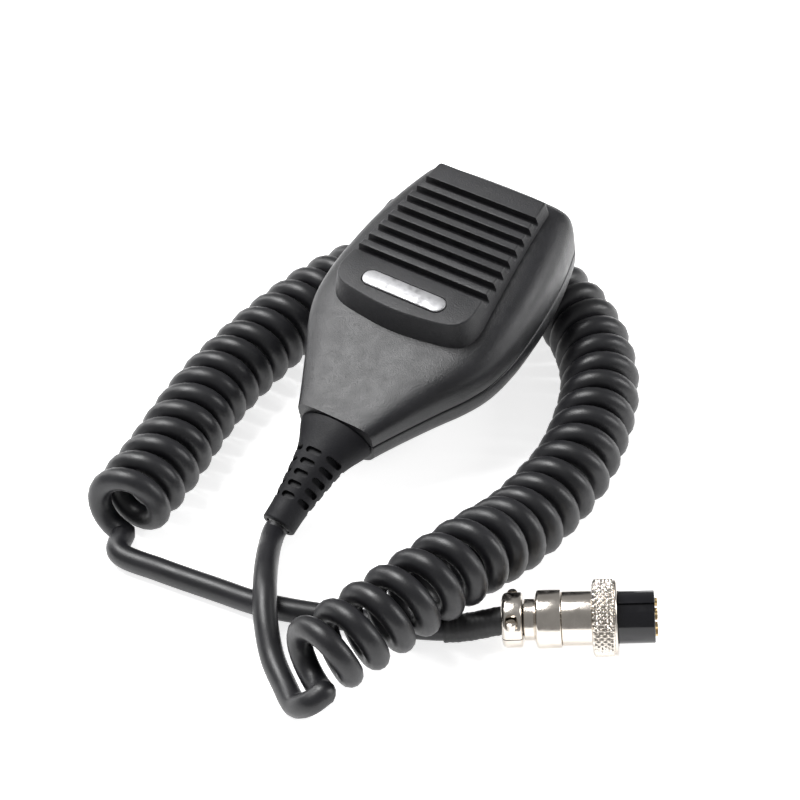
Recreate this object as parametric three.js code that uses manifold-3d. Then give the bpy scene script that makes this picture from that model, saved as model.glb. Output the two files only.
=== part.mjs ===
// A hand microphone for a radio transceiver: two shells with a slotted grille block, a press-to-talk
// bar, up and down buttons, a rubber strain relief, a curly cord and an eight-contact round plug.
//
// Millimetres, +Z up. The microphone lies face up with its head towards +Y, resting on its own curly
// cord, so it is built level in a group of its own and that group is tilted. The origin is on the
// surface it lies on, below the centre of the microphone's own box.
import * as THREE from 'three';
import { mergeVertices } from 'three/addons/utils/BufferGeometryUtils.js';
import Module from 'manifold-3d';

const wasm = await Module();
wasm.setup();

// ---------------------------------------------------------------- driving dimensions

// How the microphone lies: the middle of its parting plane, and how far its head is tipped up.
const MIC_POSITION = [1.2, 28.0, 29.6];
const MIC_TILT = THREE.MathUtils.degToRad(12);

// Brings the middle of the microphone's own box over the origin.
const CENTRING = [-0.67, 1.5, 0];

const GAP = 0.3;                 // clearance between pieces that touch on the real object
const WALL = 2.0;                // thickness of both shells
const TAIL_Y = -60;              // where the shells end and the strain relief starts
const HEAD_Y = 27.6;             // the head end, in the parting plane
const SHRINK_CENTRE_Y = 0;       // the head half of the shells closes in towards this station

// Half of the outline in the parting plane, from the tail to the middle of the head.
const OUTLINE = [
  [11.7, TAIL_Y], [13.3, -56.8], [16.9, -50], [21.0, -42.5], [25.3, -35], [28.1, -27.5], [29.2, -18],
  [29.0, -8], [28.2, 1], [26.6, 11], [24.3, 20], [22.6, 24.4], [19.6, 26.6], [10.5, 27.4], [0, HEAD_Y],
];
const OUTLINE_STEPS = 24;
const INNER_OUTLINE_STEPS = 14;

// Height of the front and depth of the rear along the middle, at stations in y.
const FRONT_HEIGHT = [[TAIL_Y, 6.0], [-50, 7.9], [-40, 9.6], [-30, 11.2], [-20, 12.6], [-10, 13.6], [5, 14.8], [30, 16.2]];
const REAR_DEPTH = [[TAIL_Y, 8.3], [-50, 9.3], [-40, 10.8], [-30, 12.4], [-20, 13.4], [0, 14.5], [30, 14.5]];
const FRONT_POWER = 4.7;         // how square the cross-section is in front
const REAR_POWER = 3.0;          // and at the rear
const SECTION_SHRINK = [0, 0.015, 0.06, 0.14, 0.25, 0.4, 0.6, 0.97];
const INNER_SECTION_SHRINK = [0, 0.06, 0.25, 0.6, 0.97];

// The raised grille block on the front.
const FACE_Z = 18.5;
const BLOCK = {
  topY: 20.8, topHalf: 17.0, cornerY: -20.5, cornerHalf: 20.8, bottomY: -29.9, edgeRadius: 0.6,
  headCorner: 1.0, draft: 2.0, rootZ: 8.0,
};
const GROOVE = { count: 8, pitch: 4.18, firstY: 14.6, width: 2.1, depth: 2.6 };
const SOUND_HOLE = { radius: 0.8, rows: [2, 3, 4, 5], columns: [-7.5, -2.5, 2.5, 7.5] };
const GRILLE_INNER_Z = 14.2;     // inside of the front wall behind the grooves

const LABEL = { y: -23.6, length: 25.4, width: 5.0, thickness: 0.9, proud: 0.45, recess: 0.55 };

// The press-to-talk bar on the left side, hinged at its tail end.
const PTT = {
  headY: 14.2, tailY: -16.5, outerX: -30.3, tailOuterX: -30.0, innerX: -22.4, lowZ: -4.6, highZ: 5.2,
  cornerRadius: 2.2,
};
const PTT_PIN = { x: -25.8, y: -14.4, radius: 0.8, lowZ: -7.4, highZ: 8.4 };
const PTT_SWITCH = { y: 6.4, z: 0.2, innerX: -11.0, outerX: -18.2, length: 12.6, height: 6.2 };
const PTT_PLUNGER = { radius: 1.1, outerX: -22.1, innerX: -16.4 };

// The up and down buttons on the head end.
const KEY = { x: 8.2, z: 5.0, width: 9.0, height: 4.0, outerY: 28.9, innerY: 22.0, lip: 0.5, lipY: 23.0 };
const KEY_SWITCH = { width: 6.0, height: 5.0, outerY: 21.0, innerY: 16.9 };

const BOARD = { halfWidth: 10.4, tailY: -26, headY: 16.8, z: -3.2, thickness: 1.4 };
const CAPSULE = { y: -1, radius: 10.0, z: 5.6, height: 6.4 };
const HOLDER = { radius: 12.2, z: 4.4, height: 8.6 };
const FELT = { halfWidth: 14, tailY: -16, headY: 14, thickness: 0.6 };

const CASE_SCREWS = [[-16.5, 18.8], [16.5, 18.8], [-14.6, -41.5], [14.6, -41.5]];
const CASE_SCREW = { headRadius: 2.5, headHeight: 1.8, shankRadius: 1.15, tipZ: 5.0, headZ: -6.0 };
const CASE_BOSS_RADIUS = 2.7;

// The hanger stud on the back, with the screw that holds it.
const STUD = { y: 6, baseRadius: 5.8, neckRadius: 3.4, discRadius: 6.5, length: 7.6 };
const STUD_SCREW = { headRadius: 2.8, headHeight: 1.6, shankRadius: 1.4, reach: 4.4 };

// The strain relief, whose axis droops from the tail; distances run along that axis.
const BOOT = {
  startY: TAIL_Y - GAP, startZ: -1.2, endY: -88.6, endZ: -7.2, boreRadius: 3.4, neckRadius: 4.8,
  flangeHalfWidth: 8.0, flangeHalfHeight: 4.6, flangeNear: -3.7, flangeFar: -5.5, squareLength: 9,
};
const BOOT_SECTIONS = [       // distance along the axis, half width, half height
  [0, 11.1, 6.9], [2.5, 9.9, 6.6], [5.5, 8.1, 6.2], [8.5, 6.9, 6.0], [13, 6.2, 5.6], [18, 5.5, 5.2],
  [22.6, 4.9, 4.8], [23.2, 4.75, 4.75], [28.6, 4.65, 4.65],
];
const BOOT_SLOT = { rows: 5, columns: 6, first: 8.4, pitch: 3.3, width: 1.7, depth: 1.3, span: 0.78 };

const CORD_CLAMP = { y: -50, halfLength: 8.4, width: 5.0, thickness: 1.4, screwX: 6.2 };
const CLAMP_SCREW = { headRadius: 1.9, headHeight: 1.3, shankRadius: 0.9, reach: 4.5 };

// The cord.
const CORD_RADIUS = 3.05;
const COIL_RADIUS = 10.8;
const SLEEVE_RADIUS = 3.7;
const SLEEVE_CLEARANCE = 0.36;
const MIC_LEAD = [
  [1.2, -57.6, 4.1], [1.4, -59.4, 3.5], [3.6, -63.8, 4.5], [7.0, -69.4, 6.8], [11.4, -76.2, 8.9],
  [15.7, -82.4, 9.5], [20.6, -88.8, 7.5], [27.0, -95.0, 4.1], [34.4, -100.2, 3.2], [40.4, -104.2, 3.9],
  [44.9, -104.6, 7.6],
];
const COIL_AXIS = [
  [40.6, -99.6, 13.6], [46.5, -83.7, 16.2], [51.6, -66.8, 17.7], [54.8, -50.0, 16.6], [56.6, -32.0, 12.2],
  [57.0, -16.0, 10.9], [56.2, -1.0, 10.9], [51.4, 17.2, 10.9], [44.4, 32.2, 10.9], [32.2, 46.2, 10.9],
  [16.2, 56.2, 10.9], [-2.8, 59.2, 10.9], [-20.8, 52.8, 10.9], [-32.3, 38.4, 10.9], [-38.2, 21.6, 10.9],
  [-40.4, 3.6, 10.9], [-40.6, -14.9, 10.9], [-39.6, -31.0, 10.9], [-36.6, -47.0, 10.9], [-33.4, -61.8, 10.9],
  [-30.9, -80.4, 10.9],
];
const PLUG_LEAD = [
  [-31.4, -84.9, 3.1], [-27.0, -86.9, 3.1], [-14.5, -85.8, 3.1], [1.6, -83.4, 3.1], [10.9, -82.0, 3.1],
  [17.8, -80.1, 3.1], [27.9, -76.2, 3.1], [41.0, -70.6, 3.1], [53.4, -65.2, 3.7], [60.4, -60.8, 4.2],
  [68.6, -55.9, 7.2], [73.6, -53.0, 7.8],
];
const SLEEVE_SPAN = [0.815, 0.955];      // part of the plug lead that the heat-shrink sleeve covers

// The plug: distances run along its own axis from the rear of the cable clamp.
const PLUG_REAR = [68.4, -56.0, 7.2];
const PLUG_FRONT = [101.1, -37.0, 11.1];
const PLUG = {
  clampLength: 5.1, clampRadius: 6.8, clampBore: 4.0, neckEnd: 8.3, neckRadius: 5.1,
  rearEnd: 14.6, rearRadius: 7.2, frontEnd: 21.9, frontRadius: 6.7, bore: 5.5,
  ringEnd: 28.2, ringRadius: 9.5, ringBore: 7.1, length: 37.2, insertRadius: 6.45, shankRadius: 5.1,
  keyAngle: THREE.MathUtils.degToRad(23),
};
const SADDLE_SCREW = { y: 5.2, shankRadius: 0.7, headRadius: 1.3, seatZ: 3.2, headHeight: 1.2, tipZ: -3.0 };
const SOCKET = {
  count: 8, circle: 3.9, holeRadius: 1.2, outerRadius: 0.88, innerRadius: 0.5, depth: 7.4, proud: 0.6,
};

// ---------------------------------------------------------------- materials

const plastic = (color, roughness) => new THREE.MeshStandardMaterial({ color, roughness, metalness: 0 });
const metal = (color, roughness) => new THREE.MeshStandardMaterial({ color, roughness, metalness: 1 });

const caseBlack = plastic(0x1b1c1e, 0.45);
const buttonBlack = plastic(0x151618, 0.4);
const bootGrey = plastic(0x3a3a3d, 0.75);
const cordBlack = plastic(0x202124, 0.5);
const sleeveBlack = plastic(0x17181a, 0.6);
const insertBlack = plastic(0x0c0c0f, 0.15);
const labelSilver = metal(0xc9cacc, 0.4);
const nickel = metal(0xcfc8bd, 0.18);
const screwSteel = metal(0x6f7072, 0.35);
const contactGold = metal(0xc9a050, 0.3);
const boardGreen = plastic(0x1f4a30, 0.6);
const switchGrey = plastic(0x4a4b4e, 0.5);
const capsuleMetal = metal(0xa8a9ab, 0.4);
const holderRubber = plastic(0x141414, 0.85);
const feltBlack = plastic(0x0d0d0d, 1.0);

// ---------------------------------------------------------------- geometry helpers

// Straight-line interpolation in a list of [station, value].
function valueAt(table, station) {
  for (let i = 1; i < table.length; i += 1) {
    const [from, low] = table[i - 1];
    const [to, high] = table[i];
    if (station <= to || i === table.length - 1) {
      const t = THREE.MathUtils.clamp((station - from) / (to - from), 0, 1);
      return low + (high - low) * t;
    }
  }
  return table[0][1];
}

// A closed body through rings of equal length. Each ring runs anticlockwise as flatten() sees it,
// and the rings follow each other towards the viewer.
function loft(rings, flatten) {
  const count = rings[0].length;
  const positions = rings.flat().flatMap((point) => point.toArray());
  const indices = [];
  for (let k = 0; k < rings.length - 1; k += 1) {
    for (let i = 0; i < count; i += 1) {
      const next = (i + 1) % count;
      const [a, b, c, d] = [k * count + i, k * count + next, (k + 1) * count + next, (k + 1) * count + i];
      indices.push(a, b, c, a, c, d);
    }
  }
  const last = (rings.length - 1) * count;
  for (const [a, b, c] of THREE.ShapeUtils.triangulateShape(rings[0].map(flatten), [])) {
    indices.push(a, c, b);
  }
  for (const [a, b, c] of THREE.ShapeUtils.triangulateShape(rings.at(-1).map(flatten), [])) {
    indices.push(last + a, last + b, last + c);
  }
  const geometry = new THREE.BufferGeometry();
  geometry.setAttribute('position', new THREE.Float32BufferAttribute(positions, 3));
  geometry.setIndex(indices);
  return geometry;
}

const seenFromAbove = (point) => new THREE.Vector2(point.x, point.y);
const seenFromTail = (point) => new THREE.Vector2(point.x, point.z);

// A closed outline moved outwards by a distance, or inwards where it is negative.
function offsetOutline(points, distance) {
  return points.map((point, i) => {
    const before = points[(i - 1 + points.length) % points.length];
    const after = points[(i + 1) % points.length];
    const incoming = point.clone().sub(before).normalize();
    const outgoing = after.clone().sub(point).normalize();
    const normal = new THREE.Vector2(incoming.y + outgoing.y, -incoming.x - outgoing.x).normalize();
    return point.clone().addScaledVector(normal, distance);
  });
}

function solidOf(geometry) {
  const bare = geometry.clone();
  for (const name of ['normal', 'uv']) {
    if (bare.attributes[name]) bare.deleteAttribute(name);
  }
  const merged = mergeVertices(bare, 1e-4);
  return new wasm.Manifold(new wasm.Mesh({
    numProp: 3,
    vertProperties: new Float32Array(merged.attributes.position.array),
    triVerts: new Uint32Array(merged.index.array),
  }));
}

function geometryOf(solid) {
  const mesh = solid.getMesh();
  const geometry = new THREE.BufferGeometry();
  geometry.setAttribute('position', new THREE.Float32BufferAttribute(mesh.vertProperties, 3));
  geometry.setIndex([...mesh.triVerts]);
  geometry.computeVertexNormals();
  return geometry;
}

// A box between two opposite corners.
function boxBetween(low, high) {
  const geometry = new THREE.BoxGeometry(high[0] - low[0], high[1] - low[1], high[2] - low[2]);
  return geometry.translate((low[0] + high[0]) / 2, (low[1] + high[1]) / 2, (low[2] + high[2]) / 2);
}

// A round body about +Z, through [radius, z] pairs that start and end on the axis or close on themselves.
function latheZ(profile, segments = 32) {
  const points = profile.map(([radius, z]) => new THREE.Vector2(radius, z));
  return new THREE.LatheGeometry(points, segments).rotateX(Math.PI / 2);
}

// The same about +X, through [radius, x] pairs.
function latheX(profile, segments = 32) {
  const points = profile.map(([radius, x]) => new THREE.Vector2(radius, x));
  return new THREE.LatheGeometry(points, segments).rotateZ(-Math.PI / 2);
}

// An upright cylinder between two heights.
function post(x, y, radius, lowZ, highZ, segments = 16) {
  return latheZ([[0, lowZ], [radius, lowZ], [radius, highZ], [0, highZ]], segments).translate(x, y, 0);
}

function tubeProfile(outer, inner, from, to, chamfer = 0) {
  return [
    [inner, from], [outer - chamfer, from], [outer, from + chamfer], [outer, to - chamfer],
    [outer - chamfer, to], [inner, to], [inner, from],
  ];
}

const curveThrough = (points) => new THREE.CatmullRomCurve3(
  points.map((point) => new THREE.Vector3(...point)), false, 'catmullrom', 0.5,
);

function circleShape(radius, sides) {
  const points = [];
  for (let i = 0; i < sides; i += 1) {
    const angle = (2 * Math.PI * i) / sides;
    points.push(new THREE.Vector2(radius * Math.cos(angle), radius * Math.sin(angle)));
  }
  return new THREE.Shape(points);
}

function tubeAlong(curve, radius, sides, steps) {
  return new THREE.ExtrudeGeometry(circleShape(radius, sides), { extrudePath: curve, steps });
}

// ---------------------------------------------------------------- the shells

// The outline in the parting plane, anticlockwise from above, from the tail's right to its left.
function bodyOutline(steps) {
  const half = new THREE.SplineCurve(OUTLINE.map(([x, y]) => new THREE.Vector2(x, y)));
  const right = half.getSpacedPoints(steps);
  const left = right.slice(0, -1).reverse().map((point) => new THREE.Vector2(-point.x, point.y));
  return [...right, ...left];
}

// The body on one side of the parting plane. With an inset it is the hollow inside the wall instead.
function bodyHalf(heights, side, inset, partingZ) {
  const steps = inset > 0 ? INNER_OUTLINE_STEPS : OUTLINE_STEPS;
  const shrinks = inset > 0 ? INNER_SECTION_SHRINK : SECTION_SHRINK;
  const power = side > 0 ? FRONT_POWER : REAR_POWER;
  const outline = offsetOutline(bodyOutline(steps), -inset).map(
    (point) => new THREE.Vector2(point.x, Math.max(point.y, TAIL_Y + inset)),
  );
  const rings = shrinks.map((shrink) => outline.map((point) => {
    const y = point.y > SHRINK_CENTRE_Y
      ? point.y - shrink * (point.y - SHRINK_CENTRE_Y)
      : point.y;
    const height = valueAt(heights, y) - inset;
    const rise = (1 - (1 - shrink) ** power) ** (1 / power);
    return new THREE.Vector3(point.x * (1 - shrink), y, side * (partingZ + (height - partingZ) * rise));
  }));
  return loft(side > 0 ? rings : rings.reverse(), seenFromAbove);
}

function blockOutline(corner) {
  const { topY, topHalf, cornerY, cornerHalf, bottomY } = BLOCK;
  const shape = new THREE.Shape();
  shape.moveTo(-topHalf + corner, topY);
  shape.quadraticCurveTo(-topHalf, topY, -topHalf - 0.1, topY - corner);
  shape.lineTo(-cornerHalf, cornerY);
  shape.bezierCurveTo(-cornerHalf - 0.4, -26.4, -18.6, -28.2, -13.2, -29.0);
  shape.quadraticCurveTo(0, bottomY - 0.8, 13.2, -29.0);
  shape.bezierCurveTo(18.6, -28.2, cornerHalf + 0.4, -26.4, cornerHalf, cornerY);
  shape.lineTo(topHalf + 0.1, topY - corner);
  shape.quadraticCurveTo(topHalf, topY, topHalf - corner, topY);
  return shape.getPoints(6);
}

function blockBody(inset, faceZ, rootZ) {
  const outline = blockOutline(BLOCK.headCorner + 1.5 * inset);
  const levels = [
    [BLOCK.draft - inset, rootZ], [-inset, faceZ - BLOCK.edgeRadius],
    [-inset - 0.2, faceZ - 0.2], [-inset - BLOCK.edgeRadius, faceZ],
  ];
  const rings = levels.map(([outset, z]) => offsetOutline(outline, outset).map(
    (point) => new THREE.Vector3(point.x, point.y, z),
  ));
  return loft(rings, seenFromAbove);
}

function grooves() {
  const cuts = [];
  for (let i = 0; i < GROOVE.count; i += 1) {
    const headSide = GROOVE.firstY - i * GROOVE.pitch;
    cuts.push(boxBetween([-40, headSide - GROOVE.width, FACE_Z - GROOVE.depth], [40, headSide, FACE_Z + 1]));
  }
  for (const row of SOUND_HOLE.rows) {
    const y = GROOVE.firstY - row * GROOVE.pitch - GROOVE.width / 2;
    for (const x of SOUND_HOLE.columns) {
      cuts.push(post(x, y, SOUND_HOLE.radius, GRILLE_INNER_Z - 1, FACE_Z - GROOVE.depth + 0.1, 8));
    }
  }
  return cuts;
}

// The opening in the left side that both shells leave for the press-to-talk bar.
function pttOpening() {
  return boxBetween(
    [-40, PTT.tailY - 0.5, PTT.lowZ - 0.4],
    [PTT.innerX + 2.6, PTT.headY + 0.5, PTT.highZ + 0.4],
  );
}

function pttPinHole() {
  const { x, y, radius, lowZ, highZ } = PTT_PIN;
  return post(x, y, radius + GAP, lowZ - GAP, highZ + GAP, 12);
}

// The round way through the tail for the strain relief's neck, along its drooping axis.
function tailOpening() {
  return bootSpace(post(0, 0, BOOT.neckRadius + GAP, BOOT.flangeNear, 3));
}

function bootAxis() {
  const start = new THREE.Vector3(0, BOOT.startY, BOOT.startZ);
  const end = new THREE.Vector3(0, BOOT.endY, BOOT.endZ);
  const direction = end.clone().sub(start);
  return { start, direction: direction.clone().normalize(), length: direction.length() };
}

// Moves a geometry built along +Z, from 0 at the seam, onto the strain relief's axis.
function bootSpace(geometry) {
  const { start, direction } = bootAxis();
  const lean = Math.atan2(-direction.z, -direction.y);
  return geometry.rotateX(Math.PI / 2 + lean).translate(start.x, start.y, start.z);
}

function joinAll(solids) {
  return solids.reduce((whole, next) => whole.add(next));
}

function cutAll(solid, geometries) {
  return geometries.reduce((left, geometry) => left.subtract(solidOf(geometry)), solid);
}

function frontShell() {
  const outer = solidOf(bodyHalf(FRONT_HEIGHT, 1, 0, GAP / 2)).add(solidOf(blockBody(0, FACE_Z, BLOCK.rootZ)));
  const hollow = solidOf(bodyHalf(FRONT_HEIGHT, 1, WALL, -1))
    .add(solidOf(blockBody(WALL, GRILLE_INNER_Z, 3)));
  const bosses = CASE_SCREWS.map(([x, y]) => solidOf(post(x, y, CASE_BOSS_RADIUS, GAP / 2, 30)));
  const clampBosses = [-1, 1].map(
    (side) => solidOf(post(side * CORD_CLAMP.screwX, CORD_CLAMP.y, 2.0, -3.6, 30)),
  );
  const inside = joinAll([...bosses, ...clampBosses]).intersect(outer.add(solidOf(
    boxBetween([-12, -54, -3.6], [12, -46, 2]),
  )));
  const pilots = CASE_SCREWS.map(([x, y]) => post(x, y, CASE_SCREW.shankRadius + GAP, -1, CASE_SCREW.tipZ + 1));
  const clampPilots = [-1, 1].map(
    (side) => post(side * CORD_CLAMP.screwX, CORD_CLAMP.y, CLAMP_SCREW.shankRadius + GAP, -5, 2),
  );
  const keys = [-1, 1].map((side) => boxBetween(
    [side * KEY.x - KEY.width / 2 - 0.35, 20, KEY.z - KEY.height / 2 - 0.35],
    [side * KEY.x + KEY.width / 2 + 0.35, 40, KEY.z + KEY.height / 2 + 0.35],
  ));
  const label = stadium(LABEL.length + 0.7, LABEL.width + 0.7, FACE_Z - LABEL.recess, FACE_Z + 1);
  return cutAll(outer.subtract(hollow).add(inside), [
    ...grooves(), ...pilots, ...clampPilots, ...keys, label, pttOpening(), pttPinHole(), tailOpening(),
  ]);
}

function rearShell() {
  const outer = solidOf(bodyHalf(REAR_DEPTH, -1, 0, GAP / 2));
  const hollow = solidOf(bodyHalf(REAR_DEPTH, -1, WALL, -1));
  const bosses = joinAll(CASE_SCREWS.map(
    ([x, y]) => solidOf(post(x, y, CASE_SCREW.headRadius + 1.3, -30, -GAP / 2)),
  ));
  const holes = CASE_SCREWS.flatMap(([x, y]) => [
    post(x, y, CASE_SCREW.shankRadius + GAP, -30, 1),
    post(x, y, CASE_SCREW.headRadius + 0.35, -30, CASE_SCREW.headZ),
  ]);
  const studHole = post(0, STUD.y, STUD_SCREW.shankRadius + GAP, -30, 0);
  return cutAll(outer.subtract(hollow).add(bosses.intersect(outer)), [
    ...holes, studHole, pttOpening(), pttPinHole(), tailOpening(),
  ]);
}

// A flat bar with round ends across the face, between two heights.
function stadium(length, width, lowZ, highZ) {
  const reach = (length - width) / 2;
  const shape = new THREE.Shape();
  shape.absarc(reach, 0, width / 2, -Math.PI / 2, Math.PI / 2, false);
  shape.absarc(-reach, 0, width / 2, Math.PI / 2, (3 * Math.PI) / 2, false);
  const geometry = new THREE.ExtrudeGeometry(shape, { depth: highZ - lowZ, bevelEnabled: false, curveSegments: 10 });
  return geometry.translate(0, LABEL.y, lowZ);
}

function labelPlate() {
  const bottom = FACE_Z - LABEL.recess + 0.1;
  return stadium(LABEL.length, LABEL.width, bottom, FACE_Z + LABEL.proud);
}

// ---------------------------------------------------------------- controls

function pttBar() {
  const { headY, tailY, outerX, tailOuterX, innerX, lowZ, highZ, cornerRadius } = PTT;
  const shape = new THREE.Shape();
  shape.moveTo(innerX, tailY);
  shape.lineTo(innerX, headY);
  shape.lineTo(outerX + cornerRadius, headY);
  shape.quadraticCurveTo(outerX, headY, outerX, headY - cornerRadius);
  shape.lineTo(outerX, 6);
  shape.bezierCurveTo(outerX, 0, tailOuterX, -6, tailOuterX + 0.2, tailY + 2.4);
  shape.quadraticCurveTo(tailOuterX + 0.4, tailY, tailOuterX + 2.4, tailY);
  const bar = new THREE.ExtrudeGeometry(shape, {
    depth: highZ - lowZ - 1.2, bevelThickness: 0.6, bevelSize: 0.6, bevelOffset: -0.6, bevelSegments: 1,
    curveSegments: 5,
  }).translate(0, 0, lowZ + 0.6);
  return solidOf(bar).subtract(solidOf(pttPinHole()));
}

function pttPin() {
  const { x, y, radius, lowZ, highZ } = PTT_PIN;
  return post(x, y, radius, lowZ, highZ, 12);
}

function pttSwitchBody() {
  const { y, z, innerX, outerX, length, height } = PTT_SWITCH;
  const body = solidOf(boxBetween([outerX, y - length / 2, z - height / 2], [innerX, y + length / 2, z + height / 2]));
  const well = latheX(
    [[0, outerX - 1], [PTT_PLUNGER.radius + GAP, outerX - 1], [PTT_PLUNGER.radius + GAP, innerX - 1.6], [0, innerX - 1.6]],
    16,
  ).translate(0, y, z);
  return geometryOf(body.subtract(solidOf(well)));
}

function pttPlunger() {
  const { radius, outerX, innerX } = PTT_PLUNGER;
  return latheX([[0, outerX], [radius, outerX], [radius, innerX], [0, innerX]], 16)
    .translate(0, PTT_SWITCH.y, PTT_SWITCH.z);
}

function keyCap(side) {
  const shape = new THREE.Shape();
  const [w, h] = [KEY.width / 2, KEY.height / 2];
  shape.moveTo(-w, -h);
  shape.lineTo(w, -h);
  shape.lineTo(w, h);
  shape.lineTo(-w, h);
  const cap = new THREE.ExtrudeGeometry(shape, {
    depth: KEY.outerY - KEY.innerY - 0.8, bevelThickness: 0.4, bevelSize: 0.4, bevelOffset: -0.4, bevelSegments: 1,
  }).rotateX(Math.PI / 2).translate(side * KEY.x, KEY.outerY - 0.4, KEY.z);
  const lip = boxBetween(
    [side * KEY.x - w - KEY.lip, KEY.innerY, KEY.z - h - KEY.lip],
    [side * KEY.x + w + KEY.lip, KEY.lipY, KEY.z + h + KEY.lip],
  );
  return solidOf(cap).add(solidOf(lip));
}

function keySwitch(side) {
  const { width, height, outerY, innerY } = KEY_SWITCH;
  const body = solidOf(boxBetween(
    [side * KEY.x - width / 2, innerY, KEY.z - height / 2],
    [side * KEY.x + width / 2, outerY - 0.9, KEY.z + height / 2],
  ));
  const nib = solidOf(boxBetween(
    [side * KEY.x - 1.5, innerY + 1, KEY.z - 1.5], [side * KEY.x + 1.5, outerY, KEY.z + 1.5],
  ));
  return geometryOf(body.add(nib));
}

// ---------------------------------------------------------------- inside the case

function circuitBoard() {
  const { halfWidth, tailY, headY, z, thickness } = BOARD;
  return boxBetween([-halfWidth, tailY, z], [halfWidth, headY, z + thickness]);
}

function micCapsule() {
  const { y, radius, z, height } = CAPSULE;
  const top = z + height;
  return latheZ([[0, z], [radius - 0.6, z], [radius, z + 0.6], [radius, top - 0.8], [radius - 0.8, top], [0, top]], 28)
    .translate(0, y, 0);
}

function capsuleHolder() {
  const { radius, z, height } = HOLDER;
  const inner = CAPSULE.radius + GAP;
  const floor = CAPSULE.z - GAP;
  return latheZ([
    [inner - 2, z], [radius, z], [radius, z + height], [inner, z + height], [inner, floor],
    [inner - 2, floor], [inner - 2, z],
  ], 28).translate(0, CAPSULE.y, 0);
}

function grilleFelt() {
  const top = GRILLE_INNER_Z - GAP;
  return boxBetween([-FELT.halfWidth, FELT.tailY, top - FELT.thickness], [FELT.halfWidth, FELT.headY, top]);
}

function panScrew(x, y, spec, headZ, tipZ) {
  const { headRadius, headHeight, shankRadius } = spec;
  const under = headZ - 0.1;
  return latheZ([
    [0, under - headHeight], [headRadius - 0.7, under - headHeight], [headRadius, under - headHeight + 0.7],
    [headRadius, under], [shankRadius, under], [shankRadius, tipZ - 1], [0, tipZ],
  ], 12).translate(x, y, 0);
}

function hangerStud() {
  const { y, baseRadius, neckRadius, discRadius, length } = STUD;
  const top = -valueAt(REAR_DEPTH, y) - GAP;
  const blind = STUD_SCREW.shankRadius + GAP;
  return latheZ([
    [0, top - length], [discRadius - 0.6, top - length], [discRadius, top - length + 0.6],
    [discRadius, top - length + 1.6], [discRadius - 0.5, top - length + 2.1], [neckRadius, top - length + 2.6],
    [neckRadius, top - 1.6], [baseRadius, top - 1.1], [baseRadius, top], [blind, top],
    [blind, top - STUD_SCREW.reach], [0, top - STUD_SCREW.reach - 0.6],
  ], 28).translate(0, y, 0);
}

function hangerScrew() {
  const { headRadius, headHeight, shankRadius, reach } = STUD_SCREW;
  const seat = -valueAt(REAR_DEPTH, STUD.y) + WALL + 0.5;
  const tip = -valueAt(REAR_DEPTH, STUD.y) - reach + 0.4;
  return latheZ([
    [0, tip], [shankRadius, tip], [shankRadius, seat], [headRadius, seat], [headRadius, seat + headHeight - 0.5],
    [headRadius - 0.5, seat + headHeight], [0, seat + headHeight],
  ], 14).translate(0, STUD.y, 0);
}

// ---------------------------------------------------------------- strain relief and clamp

// Its rings stand square to the case at the seam and turn square to its own axis further out.
function strainRelief() {
  const { start, direction, length } = bootAxis();
  const sides = 24;
  const rings = BOOT_SECTIONS.map(([distance, halfWidth, halfHeight]) => {
    const centre = start.clone().addScaledVector(direction, distance);
    const squareness = Math.min(1, distance / BOOT.squareLength);
    const up = new THREE.Vector3(0, direction.z * squareness, 1).normalize();
    const ring = [];
    for (let i = 0; i < sides; i += 1) {
      const angle = (2 * Math.PI * i) / sides;
      const point = centre.clone().addScaledVector(up, halfHeight * Math.sin(angle));
      point.x += halfWidth * Math.cos(angle);
      ring.push(point);
    }
    return ring;
  });
  const sleeve = solidOf(loft(rings, seenFromTail));
  const neck = solidOf(bootSpace(post(0, 0, BOOT.neckRadius, BOOT.flangeFar + 0.4, 2)));
  const { flangeHalfWidth, flangeHalfHeight, flangeNear, flangeFar } = BOOT;
  const flangeDisc = post(0, 0, 1, flangeFar, flangeNear).scale(flangeHalfWidth, flangeHalfHeight, 1);
  const bore = post(0, 0, BOOT.boreRadius, -10, length + 5, 16);
  let boot = joinAll([sleeve, neck, solidOf(bootSpace(flangeDisc))]).subtract(solidOf(bootSpace(bore)));
  for (let row = 0; row < BOOT_SLOT.rows; row += 1) {
    const distance = BOOT_SLOT.first + row * BOOT_SLOT.pitch;
    for (let column = 0; column < BOOT_SLOT.columns; column += 1) {
      const angle = (2 * Math.PI * (column + 0.5)) / BOOT_SLOT.columns;
      boot = boot.subtract(solidOf(bootSpace(bootSlot(distance, angle))));
    }
  }
  return geometryOf(boot);
}

// One slot across the strain relief: a block that reaches in from outside at an angle about the axis.
function bootSlot(distance, angle) {
  const halfWidth = valueAt(BOOT_SECTIONS.map(([station, width]) => [station, width]), distance);
  const halfHeight = valueAt(BOOT_SECTIONS.map(([station, , height]) => [station, height]), distance);
  const surface = 1 / Math.hypot(Math.cos(angle) / halfWidth, Math.sin(angle) / halfHeight);
  const half = (BOOT_SLOT.span * surface) / 2;
  const low = surface - BOOT_SLOT.depth;
  return boxBetween(
    [low, -half, distance - BOOT_SLOT.width / 2], [surface + 3, half, distance + BOOT_SLOT.width / 2],
  ).rotateZ(angle);
}

// The jacketed cord inside the strain relief and the tail of the case.
function innerLead() {
  const { length } = bootAxis();
  const start = -17;
  return bootSpace(latheZ([[0, start], [CORD_RADIUS, start], [CORD_RADIUS, length - GAP], [0, length - GAP]], 12));
}

function cordClamp() {
  const { y, halfLength, width, thickness, screwX } = CORD_CLAMP;
  const highZ = -3.6 - GAP;
  const plate = solidOf(boxBetween(
    [-halfLength, y - width / 2, highZ - thickness], [halfLength, y + width / 2, highZ],
  ));
  const holes = [-1, 1].map((side) => post(side * screwX, y, CLAMP_SCREW.shankRadius + GAP, -20, 0, 16));
  return geometryOf(cutAll(plate, holes));
}

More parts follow.
